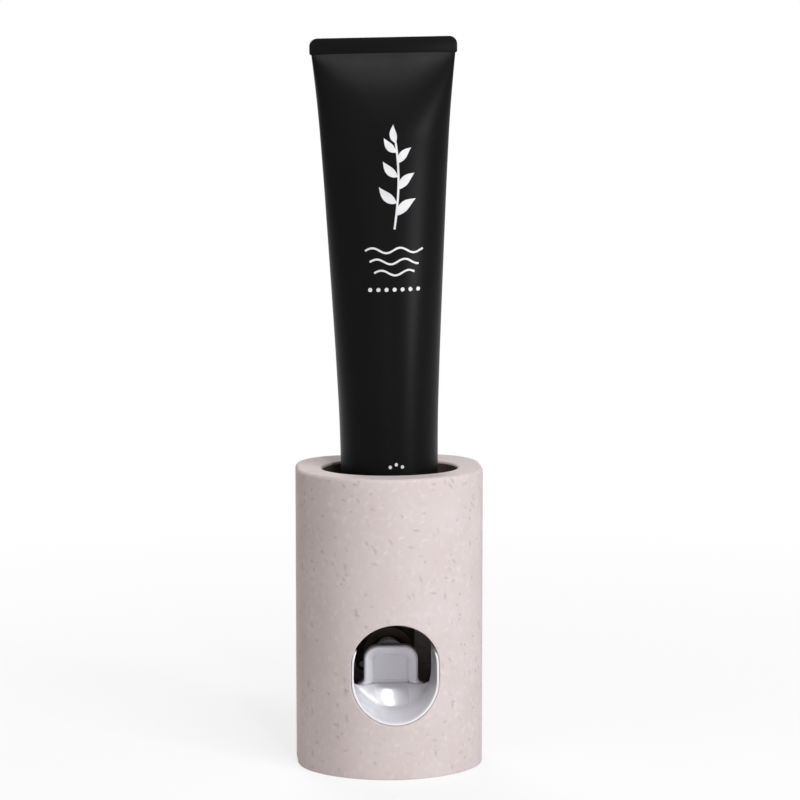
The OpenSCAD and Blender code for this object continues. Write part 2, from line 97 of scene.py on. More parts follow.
class Shape:
    """Points in millimetres and faces, which become one closed mesh."""

    def __init__(self):
        self.points = []
        self.faces = []

    def ring(self, points):
        start = len(self.points)
        self.points += [tuple(float(c) for c in p) for p in points]
        return list(range(start, len(self.points)))

    def strip(self, a, b, closed=True, skip=()):
        count = len(a)
        for i in range(count if closed else count - 1):
            if i not in skip:
                j = (i + 1) % count
                self.faces.append((a[i], a[j], b[j], b[i]))

    def cap(self, ring):
        self.faces.append(tuple(ring))

    def stack(self, rings, closed_stack=False, closed_ring=True):
        pairs = list(zip(rings, rings[1:]))
        if closed_stack:
            pairs.append((rings[-1], rings[0]))
        for a, b in pairs:
            self.strip(a, b, closed_ring)

    def bar(self, rings):
        """A skin over a row of rings, closed at both ends."""
        self.stack(rings)
        self.cap(rings[0])
        self.cap(rings[-1][::-1])

    def mesh(self, name):
        mesh = bpy.data.meshes.new(name)
        mesh.from_pydata([tuple(c * MM for c in p) for p in self.points], [], self.faces)
        return mesh

    def done(self, name, body, material, replaces=(), sharp=32.0):
        """Makes the piece with its material, on its body, and hides the CAD nodes that it
        replaces.
        """
        mesh = self.mesh(name)
        turn_outwards(mesh, WELD)
        mesh.materials.append(material)
        for polygon in mesh.polygons:
            polygon.use_smooth = True
        mesh.set_sharp_from_angle(angle=math.radians(sharp))
        piece = add_object(name, mesh)
        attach(piece, body)
        if replaces:
            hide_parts(*replaces)
        return piece


# Materials


class Look:
    """A node material in the object's own coordinates, in millimetres."""

    def __init__(self, name, color, rough, **sockets):
        self.material = bpy.data.materials.new(name)
        self.material.use_nodes = True
        self.tree = self.material.node_tree
        self.shader = self.tree.nodes["Principled BSDF"]
        self.base = tuple(color)
        self.shader.inputs["Base Color"].default_value = (*color, 1)
        self.shader.inputs["Roughness"].default_value = rough
        for socket, value in sockets.items():
            self.shader.inputs[socket.replace("_", " ")].default_value = value
        self.where = self.node("ShaderNodeTexCoord").outputs["Object"]
        self.color_out = None

    def node(self, kind, **settings):
        made = self.tree.nodes.new(kind)
        for key, value in settings.items():
            setattr(made, key, value)
        return made

    def link(self, a, b):
        self.tree.links.new(a, b)

    def place(self, size, turn=(0, 0, 0)):
        """Coordinates in units of the given sizes, turned by angles in degrees."""
        mapping = self.node("ShaderNodeMapping", vector_type="TEXTURE")
        self.link(self.where, mapping.inputs["Vector"])
        mapping.inputs["Rotation"].default_value = [math.radians(a) for a in turn]
        mapping.inputs["Scale"].default_value = [s * MM for s in size]
        return mapping.outputs["Vector"]

    def noise(self, size, detail=2.0, turn=(0, 0, 0)):
        texture = self.node("ShaderNodeTexNoise")
        size = size if isinstance(size, tuple) else (size,) * 3
        self.link(self.place(size, turn), texture.inputs["Vector"])
        texture.inputs["Scale"].default_value = 1
        texture.inputs["Detail"].default_value = detail
        return texture.outputs["Fac"]

    def spots(self, size, turn=(0, 0, 0)):
        texture = self.node("ShaderNodeTexVoronoi")
        self.link(self.place(size, turn), texture.inputs["Vector"])
        texture.inputs["Scale"].default_value = 1
        return texture.outputs["Distance"], texture.outputs["Color"]

    def ramp(self, value, stops):
        ramp = self.node("ShaderNodeValToRGB")
        self.link(value, ramp.inputs["Fac"])
        elements = ramp.color_ramp.elements
        while len(elements) < len(stops):
            elements.new(0.5)
        for element, (place, level) in zip(elements, stops):
            element.position = place
            element.color = (*level, 1) if isinstance(level, tuple) else (level, level, level, 1)
        return ramp.outputs["Color"]

    def math(self, operation, a, b):
        made = self.node("ShaderNodeMath", operation=operation)
        for socket, value in zip(made.inputs, (a, b)):
            if isinstance(value, (int, float)):
                socket.default_value = value
            else:
                self.link(value, socket)
        return made.outputs["Value"]

    def inside_oval(self, w, d, y):
        """1 on the wall and in the inside of an upright oval hole, 0 outside."""
        on_wall = 1.01
        flat = self.node("ShaderNodeVectorMath", operation="MULTIPLY")
        self.link(self.where, flat.inputs[0])
        flat.inputs[1].default_value = (1 / (w * MM), 1 / (d * MM), 0)
        moved = self.node("ShaderNodeVectorMath", operation="SUBTRACT")
        self.link(flat.outputs[0], moved.inputs[0])
        moved.inputs[1].default_value = (0, y / d, 0)
        length = self.node("ShaderNodeVectorMath", operation="LENGTH")
        self.link(moved.outputs[0], length.inputs[0])
        return self.math("LESS_THAN", length.outputs["Value"], on_wall)

    def below(self, z):
        split = self.node("ShaderNodeSeparateXYZ")
        self.link(self.where, split.inputs[0])
        return self.math("LESS_THAN", split.outputs["Z"], z * MM)

    def tint(self, amount, color):
        """Mixes a colour over the base by a pattern."""
        mix = self.node("ShaderNodeMix", data_type="RGBA")
        self.link(amount, mix.inputs["Factor"])
        if self.color_out is None:
            mix.inputs["A"].default_value = (*self.base, 1)
        else:
            self.link(self.color_out, mix.inputs["A"])
        mix.inputs["B"].default_value = (*color, 1)
        self.color_out = mix.outputs["Result"]
        self.link(self.color_out, self.shader.inputs["Base Color"])

    def roughness(self, pattern, low, high):
        self.link(self.ramp(pattern, [(0.3, low), (0.7, high)]), self.shader.inputs["Roughness"])

    def bump(self, pattern, height, strength=1.0):
        bump = self.node("ShaderNodeBump")
        bump.inputs["Strength"].default_value = strength
        bump.inputs["Distance"].default_value = height * MM
        self.link(pattern, bump.inputs["Height"])
        self.link(bump.outputs["Normal"], self.shader.inputs["Normal"])


FLECK_DARK, FLECK_PALE = (0.40, 0.33, 0.33), (0.80, 0.74, 0.73)
# size in millimetres, turn in degrees, colour, how rare from 0 to 1, strength
FLECKS = (
    ((5.4, 2.0, 1.9), (0, 8, 0), FLECK_DARK, 0.76, 0.5),
    ((1.9, 2.0, 5.2), (0, -14, 0), FLECK_DARK, 0.80, 0.5),
    ((4.8, 2.0, 1.9), (0, 48, 20), FLECK_DARK, 0.82, 0.5),
    ((2.1, 2.1, 2.1), (0, 0, 0), FLECK_DARK, 0.84, 0.45),
    ((1.8, 1.8, 4.6), (10, 30, 0), FLECK_PALE, 0.80, 0.4),
    ((4.6, 1.8, 1.8), (0, -20, 10), FLECK_PALE, 0.82, 0.4),
)


def fleck_plastic():
    """Beige moulding with sparse soft fibres, most of them dark; the well is dark inside."""
    warm, well_brown, rim_depth = (0.61, 0.53, 0.50), (0.165, 0.122, 0.100), 0.9
    look = Look("fleck_plastic", (0.665, 0.59, 0.575), 0.62, Specular_IOR_Level=0.12)
    look.tint(look.ramp(look.noise(16, 3), [(0.40, 0.0), (0.70, 0.5)]), warm)
    look.tint(look.ramp(look.noise(2.2, 2), [(0.52, 0.0), (0.75, 0.3)]), FLECK_PALE)
    streaks = look.noise((3.0, 1.6, 1.2), 2, turn=(0, 10, 0))
    look.tint(look.ramp(streaks, [(0.55, 0.0), (0.78, 0.35)]), warm)
    for size, turn, color, rare, strength in FLECKS:
        distance, tone = look.spots(size, turn)
        chosen = look.ramp(tone, [(rare - 0.02, 0.0), (rare + 0.02, 1.0)])
        near = look.ramp(distance, [(0.10, 1.0), (0.40, 0.0)])
        look.tint(look.math("MULTIPLY", look.math("MULTIPLY", chosen, near), strength), color)
    in_well = look.inside_oval(WELL_W, WELL_D, AXIS_Y)
    look.tint(look.math("MULTIPLY", in_well, look.below(SHELL_H - rim_depth)), well_brown)
    fine = look.noise(0.35, 2)
    look.roughness(fine, 0.55, 0.70)
    look.bump(fine, 0.015, 0.5)
    return look.material


def plain_plastic(name, color, deep, rough, patch=8.0, height=0.01, **sockets):
    """Moulded plastic: faint cloudy tone, uneven gloss and a fine skin."""
    look = Look(name, color, rough, **sockets)
    look.tint(look.ramp(look.noise(patch, 3), [(0.35, 0.0), (0.75, 0.6)]), deep)
    look.roughness(look.noise(patch / 3, 3), rough - 0.04, rough + 0.05)
    look.bump(look.noise(patch / 5, 2), height, 0.4)
    return look.material


def black_laminate():
    look = Look("black_laminate", (0.0035, 0.0035, 0.0037), 0.34, Specular_IOR_Level=0.06)
    look.tint(look.ramp(look.noise(30, 3), [(0.35, 0.0), (0.75, 0.6)]), (0.0055, 0.0055, 0.006))
    look.roughness(look.noise((18, 18, 60), 3), 0.31, 0.40)
    look.bump(look.noise((9, 9, 30), 2), 0.05, 0.35)
    return look.material


def brushed_steel():
    look = Look("brushed_steel", (0.62, 0.62, 0.63), 0.3, Metallic=1.0)
    look.tint(look.ramp(look.noise(2.0, 3), [(0.3, 0.0), (0.8, 0.7)]), (0.50, 0.50, 0.52))
    look.roughness(look.noise((0.1, 2.0, 2.0), 3), 0.24, 0.38)
    look.bump(look.noise((0.08, 2.0, 2.0), 2), 0.004, 0.5)
    return look.material


def foam_tape():
    look = Look("foam_tape", (0.42, 0.42, 0.43), 0.9)
    distance, _ = look.spots((0.5, 0.5, 0.5))
    look.tint(look.ramp(distance, [(0.2, 0.8), (0.6, 0.0)]), (0.28, 0.28, 0.29))
    look.bump(distance, 0.12, 0.8)
    return look.material


SHELL = fleck_plastic()
COVER = plain_plastic("cover_plastic", (0.58, 0.50, 0.48), (0.52, 0.44, 0.42), 0.6)
WHITE = plain_plastic("gloss_white", (0.865, 0.862, 0.890), (0.845, 0.842, 0.870), 0.10,
                      12.0, 0.006)
DARK = plain_plastic("dark_plastic", (0.110, 0.080, 0.062), (0.098, 0.071, 0.055), 0.85,
                     Specular_IOR_Level=0.15)
SILICONE = plain_plastic("silicone", (0.55, 0.55, 0.56), (0.48, 0.48, 0.50), 0.5, 5.0, 0.02)
BLACK = black_laminate()
CONE = plain_plastic("black_cone", (0.014, 0.014, 0.014), (0.020, 0.020, 0.020), 0.4)
STEEL = brushed_steel()
FOAM = foam_tape()
INK = plain_plastic("white_ink", (0.72, 0.72, 0.72), (0.60, 0.60, 0.60), 0.45, 3.0, 0.01)

NODE_LOOKS = {
    "lever_pin": STEEL, "pump_body": DARK, "rear_cap": DARK, "cap_gasket": SILICONE,
    "cap_screws": STEEL, "piston": WHITE, "piston_seal": SILICONE, "piston_rod": WHITE,
    "return_spring": STEEL, "valve_seat": WHITE, "inlet_valve": SILICONE,
    "inlet_seal": SILICONE, "seal_ring": WHITE, "outlet_nozzle": WHITE,
    "outlet_valve": SILICONE, "pump_screws": STEEL, "base_cover": COVER,
    "base_screws": STEEL, "wall_bracket": WHITE, "adhesive_pad": FOAM, "tube_shoulder": CONE,
    "outer_shell": SHELL, "front_bezel": WHITE, "push_lever": WHITE, "tube_sleeve": BLACK,
}
for name, material in NODE_LOOKS.items():
    nodes[name].data.materials.clear()
    nodes[name].data.materials.append(material)


# Housing


def arc_points(cx, cy, r, a0, a1, count, first=0):
    made = []
    for i in range(first, count):
        a = math.radians(a0 + (a1 - a0) * i / count)
        made.append((cx + r * math.cos(a), cy + r * math.sin(a), math.cos(a), math.sin(a)))
    return made


def line_points(x0, y0, x1, y1, nx, ny, count):
    return [(x0 + (x1 - x0) * i / count, y0 + (y1 - y0) * i / count, nx, ny) for i in range(count)]


def plan_points():
    """The housing's outline with its outward directions, the front columns first."""
    made = []
    for x in range(-FRONT_HALF, FRONT_HALF + 1):
        s = x / FRONT_R
        c = -math.sqrt(1 - s * s)
        made.append((x, FRONT_CY + FRONT_R * c, s, c))
    edge = math.degrees(math.asin(FRONT_HALF / FRONT_R))
    made += arc_points(0, FRONT_CY, FRONT_R, edge - 90, -JOIN_ANGLE, 6, 1)
    made += arc_points(SIDE_X, SIDE_CY, SIDE_R, -JOIN_ANGLE, 0, 10)
    made += line_points(HALF_W, SIDE_CY, HALF_W, CORNER_CY, 1, 0, 4)
    made += arc_points(CORNER_X, CORNER_CY, CORNER_R, 0, 90, 20)
    made += line_points(CORNER_X, BACK_Y, -CORNER_X, BACK_Y, 0, 1, 12)
    made += arc_points(-CORNER_X, CORNER_CY, CORNER_R, 90, 180, 20)
    made += line_points(-HALF_W, CORNER_CY, -HALF_W, SIDE_CY, -1, 0, 4)
    made += arc_points(-SIDE_X, SIDE_CY, SIDE_R, 180, 180 + JOIN_ANGLE, 10)
    made += arc_points(0, FRONT_CY, FRONT_R, 180 + JOIN_ANGLE, 270 - edge, 6)
    return made


def surface_y(x, inset=0.0):
    """Depth of the housing's front, moved inwards by an inset."""
    return FRONT_CY - math.sqrt((FRONT_R - inset) ** 2 - x * x)


def hole_point(x, z, r):
    """Where the line from the hole's middle towards a point meets a stadium of end radius r."""
    dx, dz = x, z - HOLE_Z
    length = math.hypot(dx, dz)
    dx, dz = dx / length, dz / length
    half = HOLE_HIGH - HOLE_Z
    if abs(dx) > 1e-9 and abs(dz) * r / abs(dx) <= half:
        t = r / abs(dx)
    else:
        t = half * abs(dz) + math.sqrt(r * r - (half * dx) ** 2)
    return t * dx, HOLE_Z + t * dz


def steps(count):
    return [i / count for i in range(count + 1)]


SHELL_SHARP = 34
BOSS_SIDES, BOSS_BORE_R, BOSS_R = 40, 1.52, 3.5
# lower end, top of the bore and upper end of each boss
BOSS_LEVELS = ((5.2, 15.5, 17.0), (68.4, 83.4, SHELL_H - TOP_T + 0.3))
HOOK_X = 12


def build_shell():
    shape = Shape()
    plan = plan_points()
    band = list(range(14, 63, 2))
    columns = range(2 * FRONT_HALF)

    def level(inset, z):
        return shape.ring([(x - nx * inset, y - ny * inset, z) for x, y, nx, ny in plan])

    def oval(grow, z):
        made = []
        for x, y, _, _ in plan:
            dx, dy = x, y - AXIS_Y
            t = 1 / math.hypot(dx / (WELL_W + grow), dy / (WELL_D + grow))
            made.append((t * dx, AXIS_Y + t * dy, z))
        return shape.ring(made)

    def quarter(count):
        return [(math.sin(a), math.cos(a)) for a in (math.pi / 2 * t for t in steps(count))]

    foot = 0.6
    outer = [level(foot * (1 - s), foot * (1 - c)) for s, c in quarter(4)]
    outer += [level(0, z) for z in (4, 9)]
    outer_band = [level(0, z) for z in band]
    high = [level(0, z) for z in (74, 86, 98, 106, SHELL_H - RIM_R)]
    high += [level(RIM_R * (1 - c), SHELL_H - RIM_R * (1 - s)) for s, c in quarter(8)[1:]]
    high.append(level(RIM_R + 0.08, SHELL_H))
    lip = 1.0
    high.append(oval(lip + 0.08, SHELL_H))
    high += [oval(lip * (1 - s), SHELL_H - lip * (1 - c)) for s, c in quarter(6)]
    high += [oval(0, z) for z in (107, 102, 97, 92, 87, SKIRT_Z + 0.5)]
    high += [oval(0.15, SKIRT_Z + 0.15), oval(0.5, SKIRT_Z), oval(SKIRT_T - 0.3, SKIRT_Z)]
    high += [oval(SKIRT_T, z) for z in (SKIRT_Z + 0.3, 90, 100, SHELL_H - TOP_T)]
    high += [level(WALL, z) for z in (SHELL_H - TOP_T, 95, 80, 70)]
    inner_band = [level(WALL, z) for z in reversed(band)]
    low = [level(WALL, z) for z in (8, 0)]
    for part in (outer, high, low):
        shape.stack(part)
    shape.strip(outer[-1], outer_band[0])
    shape.strip(outer_band[-1], high[0])
    shape.strip(high[-1], inner_band[0])
    shape.strip(inner_band[-1], low[0])
    shape.strip(low[-1], outer[0])
    for rows in (outer_band, inner_band):
        for a, b in zip(rows, rows[1:]):
            shape.strip(a, b, skip=columns)

    def border(rows):
        """Round the square patch that holds the hole, from its lower left corner."""
        bottom, top = rows[0], rows[-1]
        right = [row[2 * FRONT_HALF] for row in rows[1:-1]]
        left = [row[0] for row in rows[1:-1]]
        width = 2 * FRONT_HALF + 1
        return bottom[:width] + right + top[:width][::-1] + left[::-1]

    def hole_loop(edge, inset, r, spread=0.0):
        """The hole's edge, or a loop that share of the way out to the patch's border."""
        made = []
        for index in edge:
            bx, _, bz = shape.points[index]
            hx, hz = hole_point(bx, bz, r)
            x, z = hx + (bx - hx) * spread, hz + (bz - hz) * spread
            made.append((x, surface_y(x, inset), z))
        return shape.ring(made)

    def patch(edge, inset, r):
        spreads = (0.75, 0.52, 0.34, 0.2, 0.1, 0.04, 0.0)
        loops = [edge] + [hole_loop(edge, inset, r, spread) for spread in spreads]
        shape.stack(loops)
        return loops[-1]

    fillet = 0.45
    outside = border(outer_band)
    inside = border(inner_band[::-1])
    loops = [patch(outside, 0, HOLE_R + fillet)]
    loops += [hole_loop(outside, fillet * (1 - c), HOLE_R + fillet * (1 - s))
              for s, c in quarter(4)[1:]]
    loops += [hole_loop(outside, WALL * 0.6, HOLE_R), patch(inside, WALL, HOLE_R)]
    shape.stack(loops)
    shell = shape.done("shell_body", "housing", SHELL, ["outer_shell"],
                       SHELL_SHARP)
    cut_hook_slots(shell)


def around(x, y, r, angle):
    a = math.radians(angle)
    return x + r * math.cos(a), y + r * math.sin(a)


def build_bosses():
    """The tubes that the screws bite into, low and high, open at their lower ends."""
    shape = Shape()
    turn = [2 * math.pi * i / BOSS_SIDES for i in range(BOSS_SIDES)]
    spots = [around(SIDE_X, SIDE_CY, 18.6, -42), around(CORNER_X, CORNER_CY, 14.6, 45)]
    for x, y in [(side * x, y) for side in (-1, 1) for x, y in spots]:
        for low, blind, high in BOSS_LEVELS:
            profile = ((BOSS_BORE_R, blind), (BOSS_BORE_R, low + 0.2), (1.7, low), (3.3, low),
                       (BOSS_R, low + 0.2), (BOSS_R, high))
            rings = []
            for r, z in profile:
                rings.append(shape.ring([(x + r * math.cos(a), y + r * math.sin(a), z)
                                         for a in turn]))
            shape.bar(rings)
    shape.done("screw_bosses", "housing", SHELL)


def cut_hook_slots(shell):
    """T-shaped slots in the back for the hooks of the wall plate."""
    window_low, window_top, rest_top = 70.2, 80.2, 96.4
    for hook_x in (-HOOK_X, HOOK_X):
        cutter = Shape()
        outline = [(-5.1, window_low), (5.1, window_low), (5.1, window_top), (2.6, window_top),
                   (2.6, rest_top), (-2.6, rest_top), (-2.6, window_top), (-5.1, window_top)]
        front = cutter.ring([(hook_x + x, BACK_Y - WALL - 1, z) for x, z in outline])
        back = cutter.ring([(hook_x + x, BACK_Y + 1, z) for x, z in outline])
        cutter.bar([front, back])
        mesh = cutter.mesh("cutter")
        turn_outwards(mesh)
        tool = add_object("cutter", mesh)
        modifier = shell.modifiers.new("slot", "BOOLEAN")
        modifier.object = tool
        modifier.operation = "DIFFERENCE"
        modifier.solver = "EXACT"
        graph = bpy.context.evaluated_depsgraph_get()
        cut = bpy.data.meshes.new_from_object(shell.evaluated_get(graph))
        shell.modifiers.clear()
        old = shell.data
        shell.data = cut
        bpy.data.objects.remove(tool)
        bpy.data.meshes.remove(mesh)
        bpy.data.meshes.remove(old)
    shell.data.name = "shell_body"
    shell.data.set_sharp_from_angle(angle=math.radians(SHELL_SHARP))


# Lining of the front hole

LINING_TOP = 46.8
FLOOR_TOP = 30.3
RAMP_RISE = 1.6
IN_FRONT, IN_BACK = 15.05, 14.6
SLOT_X, SLOT_R = 12.0, 2.1
LIP_END_R = 3.4
LINING_BACK = -8.3
LAND_Y = -7.6


def lining_columns():
    """For the right half, from the bottom up: front and back inner points, outward directions."""
    made = []
    low = [0, 1.2, 2.4, 3.6, 4.7, 5.5, 5.97, 6.25, 6.6, 7.4, 8.3, 9.2, 10.1, 11, 11.6, 12]
    low += [12.4, 12.8, 13.15, 13.45, 13.7, 13.88, 14]
    angles = [math.degrees(math.asin(x / IN_BACK)) for x in low] + [76, 79, 82, 86]
    for angle in angles:
        a = math.radians(angle)
        n = (math.sin(a), -math.cos(a))
        made.append(((IN_FRONT * n[0], HOLE_LOW + IN_FRONT * n[1]),
                     (IN_BACK * n[0], HOLE_LOW + IN_BACK * n[1]), n))
    for z in (35.9, 37.4, 39.1, 40.9, 42.3, 43.4, 44.1, 44.8, 45.4, 45.9, 46.3, 46.6, LINING_TOP):
        rise = max(0.0, z - HOLE_HIGH)
        front_x = math.sqrt(IN_FRONT ** 2 - rise ** 2)
        made.append(((front_x, z), (min(front_x, IN_BACK), z),
                     (front_x / IN_FRONT, rise / IN_FRONT)))
    return made


def slot_floor(x):
    """Height of the lining's rear edge: level under the tongue, round at each side."""
    over = min(max(0.0, x - SLOT_X), SLOT_R)
    return FLOOR_TOP + SLOT_R - math.sqrt(SLOT_R ** 2 - over ** 2)


def ramp_top_y(x):
    """Depth of the steep wall's upper edge: a hollow channel is sunk between two flanks."""
    if x < 6.0:
        return -6.3 - x * x / 200
    return float(np.interp(x, [6.0, 6.25, 9.4, 10.6], [-6.48, -7.2, -7.85, -8.0]))


def blend_line(points, count):
    """Evenly spaced points along a bent line."""
    points = np.array(points, float)
    lengths = np.r_[0, np.cumsum(np.linalg.norm(np.diff(points, axis=0), axis=1))]
    at = np.linspace(0, lengths[-1], count)
    return [tuple(np.interp(t, lengths, points[:, k]) for k in range(3)) for t in at]


def lining_profile(front, back, n):
    """One closed outline of the lining's wall, in depth and outwards."""
    drop = min(LIP_END_R, max(0.0, front[1] - (LINING_TOP - LIP_END_R)))
    y_front = surface_y(front[0], 0.25) + LIP_END_R - math.sqrt(LIP_END_R ** 2 - drop ** 2)
    edge = 0.3

    def lip(grow, y):
        return (front[0] + n[0] * grow, y, front[1] + n[1] * grow)

    def wall(t, grow=0.0):
        y = y_front + edge + (LINING_BACK - y_front - edge) * t
        return (front[0] + (back[0] - front[0]) * t + n[0] * grow, y,
                front[1] + (back[1] - front[1]) * t + n[1] * grow)

    made = [lip(0.8, y_front + 2), lip(0.8, y_front + 0.3), lip(0.71, y_front + 0.09),
            lip(0.5, y_front), lip(edge, y_front), lip(edge * 0.3, y_front + edge * 0.3)]
    start, end = np.array(wall(0)), np.array(wall(1))
    top_y, top_z = ramp_top_y(back[0]), slot_floor(back[0])
    run = end - start
    # where the wall meets the steep ramp: y = top_y - (top_z - z) / RAMP_RISE
    t = (top_y - (top_z - start[2]) / RAMP_RISE - start[1]) / (run[1] - run[2] / RAMP_RISE)
    inner = []
    if back[1] < top_z and t < 0.995:
        foot = start + run * t
        top = np.array((back[0], top_y, top_z))
        height = np.linalg.norm(top - foot)
        soft = min(2.2, height * 0.42)
        before = foot - run / np.linalg.norm(run) * soft
        after = foot + (top - foot) / height * soft
        inner += blend_line([start, before], 7)
        for u in steps(6)[1:]:
            inner.append(tuple((1 - u) ** 2 * before + 2 * u * (1 - u) * foot + u * u * after))
        round_edge = min(0.12, height * 0.2)
        last = top - (top - foot) / height * round_edge
        inner += blend_line([after, last], 5)[1:]
        inner.append((top[0], top[1] + 0.02, top[2] - 0.02))
        inner.append((top[0], top[1] + 0.08, top_z))
        land_y = max(top_y + 0.35, LAND_Y)
        neck_z = min(top_z - 0.25, max(29.3, foot[2] + 0.3))
        foot_z = min(neck_z - 0.2, max(27.8, foot[2] - 0.2))
        rear = [(top[0], land_y, top_z), (top[0], land_y, neck_z), (top[0], LAND_Y, foot_z),
                (foot[0] + n[0], foot[1] + 1.5, min(foot[2] - 0.9, foot_z - 0.3))]
    else:
        inner += blend_line([start, wall(0.97)], 17)
        inner.append(wall(0.985))
        inner.append(wall(0.995, 0.1))
        rear = [wall(1.0, 0.2), wall(1.0, 0.7), wall(1.0, 1.0), wall(0.97, 1.15)]
    return made + inner + rear


def flange_columns():
    made = []
    for angle in range(-90, 91, 6):
        a = math.radians(angle)
        made.append((0, HOLE_LOW, (math.sin(a), -math.cos(a))))
    for rise in (2.0, 4.0):
        made.append((0, HOLE_LOW + rise, (1, 0)))
        made.insert(0, (0, HOLE_LOW + rise, (-1, 0)))
    for angle in (0, 6, 12, 18):
        a = math.radians(angle)
        made.append((0, HOLE_HIGH, (math.cos(a), math.sin(a))))
        made.insert(0, (0, HOLE_HIGH, (-math.cos(a), math.sin(a))))
    return made


def box_reach(c, s, y0, y1, z0, z1):
    """How far a ray from the pivot runs inside a box that holds the pivot."""
    reach = []
    if abs(c) > 1e-9:
        reach.append((y1 if c > 0 else y0) / c)
    if abs(s) > 1e-9:
        reach.append((z1 if s > 0 else z0) / s)
    return min(reach)


def ear_reach(c, s):
    return max(3.2, box_reach(c, s, -3.9, 0.0001, -3.2, 3.2))


def hub_reach(c, s):
    return max(3.2, box_reach(c, s, -1.4, 0.6, -0.0001, 4.9))


def eye_block(shape, x0, x1, bore, reach):
    """A bored block about the lever's pivot."""
    count = 72
    rings = []
    for x, kind in ((x0, "bore"), (x0, "out"), (x1, "out"), (x1, "bore")):
        made = []
        for i in range(count):
            a = 2 * math.pi * i / count
            c, s = math.cos(a), math.sin(a)
            r = bore if kind == "bore" else reach(c, s)
            made.append((x, PIVOT_Y + r * c, PIVOT_Z + r * s))
        rings.append(shape.ring(made))
    shape.stack(rings, closed_stack=True)


def build_lining():
    shape = Shape()
    right = [lining_profile(*column) for column in lining_columns()]
    left = [[(-x, y, z) for x, y, z in profile] for profile in right[1:]]
    rings = [shape.ring(profile) for profile in right[::-1] + left]
    shape.bar(rings)
    flange_in, flange_out = 15.9, 18.6
    rings = []
    for x, z, n in flange_columns():
        made = []
        for r, inset in ((flange_in, WALL + 0.1), (flange_in, WALL + 1.7),
                         (flange_out, WALL + 1.7), (flange_out, WALL + 0.1)):
            px, pz = x + n[0] * r, z + n[1] * r
            made.append((px, surface_y(px, inset), pz))
        rings.append(shape.ring(made))
    shape.bar(rings)
    ear_in, ear_out, ear_bore_r = 8.2, 11.2, 1.52
    for side in (-1, 1):
        eye_block(shape, side * ear_in, side * ear_out, ear_bore_r, ear_reach)
    shape.done("hole_lining", "housing", WHITE, ["front_bezel"], 30)


# Push lever

TONGUE_HALF, TONGUE_TOP, TONGUE_LOW, TONGUE_CORNER = 9.9, 44.7, 30.4, 5.3
TONGUE_Y, TONGUE_BACK, ROOT_R = -8.0, -4.6, 2.1
DISH, RECESS = 2.3, 2.7


def tongue_curve(inset):
    """The tongue's outline moved inwards: up the right side, over the top, down the left."""
    half = TONGUE_HALF - inset
    root_z = TONGUE_LOW + ROOT_R
    flare = max(0.0, 1 - inset / 1.8)
    right = []
    for z in (30.4, 30.6, 30.9, 31.3, 31.8, 32.5, 33.5, 35, 36.5, 38, 39.4):
        x = half
        if z < root_z:
            r = ROOT_R + inset
            x += flare * (r - math.sqrt(max(0.0, r * r - (root_z - z) ** 2)))
        right.append((x, z))
    r = TONGUE_CORNER - 0.78 * inset
    cx, cz = half - r, TONGUE_TOP - inset - r
    for i in range(1, 11):
        a = math.pi / 2 * i / 10
        right.append((cx + r * math.cos(a), cz + r * math.sin(a)))
    for t in (0.75, 0.5, 0.25):
        right.append((cx * t, TONGUE_TOP - inset))
    middle = [(0.0, TONGUE_TOP - inset)]
    return right + middle + [(-x, z) for x, z in right[::-1]]


def build_lever():
    shape = Shape()
    edge = 0.9
    depths = [(0.0, TONGUE_BACK + 0.25), (0.0, TONGUE_Y + edge + 0.4)]
    for i in range(7):
        a = math.pi / 2 * i / 6
        depths.append((edge * (1 - math.cos(a)), TONGUE_Y + edge * (1 - math.sin(a))))
    flank_end = 3.3
    for u in (0.06, 0.13, 0.22, 0.35, 0.5, 0.65, 0.8, 0.9, 1.0):
        depths.append((edge + (flank_end - edge) * u, TONGUE_Y + DISH * u ** 1.15))
    # the rounded step from the flank down into the recess, as run inwards and rise
    bead = [(0.06, -0.01), (0.14, -0.09), (0.22, -0.13), (0.3, -0.12), (0.37, -0.05), (0.43, 0.08),
            (0.48, 0.25), (0.54, 0.4), (0.62, 0.48), (0.74, RECESS - DISH), (0.95, RECESS - DISH)]
    depths += [(flank_end + run, TONGUE_Y + DISH + rise) for run, rise in bead]
    back = shape.ring([(x, TONGUE_BACK, z) for x, z in tongue_curve(0.25)])
    rings = [back]
    rings += [shape.ring([(x, y, z) for x, z in tongue_curve(inset)]) for inset, y in depths]
    shape.stack(rings, closed_ring=False)
    shape.cap(rings[-1])
    shape.cap(back[::-1])
    shape.cap([ring[0] for ring in rings] + [ring[-1] for ring in rings[::-1]])
    hub_half, hub_bore_r = 7.9, 1.55
    eye_block(shape, -hub_half, hub_half, hub_bore_r, hub_reach)
    shape.done("push_tongue", "lever", WHITE, ["push_lever"], 40)


# Return spring

SPRING_Y0, SPRING_Y1, SPRING_SEAT, BORE_Z = 0.55, 9.45, 9.8, 40.0


def build_spring():
    """The return spring as round wire, at its rest length."""
    shape = Shape()
    coil, wire, turns = 4.2, 0.3, 4
    rings = []
    for t in steps(28 * turns):
        a = -2 * math.pi * turns * t
        made = []
        for i in range(10):
            b = 2 * math.pi * i / 10
            r = coil + wire * math.cos(b)
            y = SPRING_Y0 + (SPRING_Y1 - SPRING_Y0) * t + wire * math.sin(b)
            made.append((r * math.cos(a), y, BORE_Z + r * math.sin(a)))
        rings.append(shape.ring(made))
    shape.bar(rings)
    spring = shape.done("coil_spring", "housing", STEEL, ["return_spring"], 50)
    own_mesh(spring)


# Tube

CRIMP_Z = TUBE_LEN - CRIMP_H
TUBE_END = CRIMP_Z + 0.5
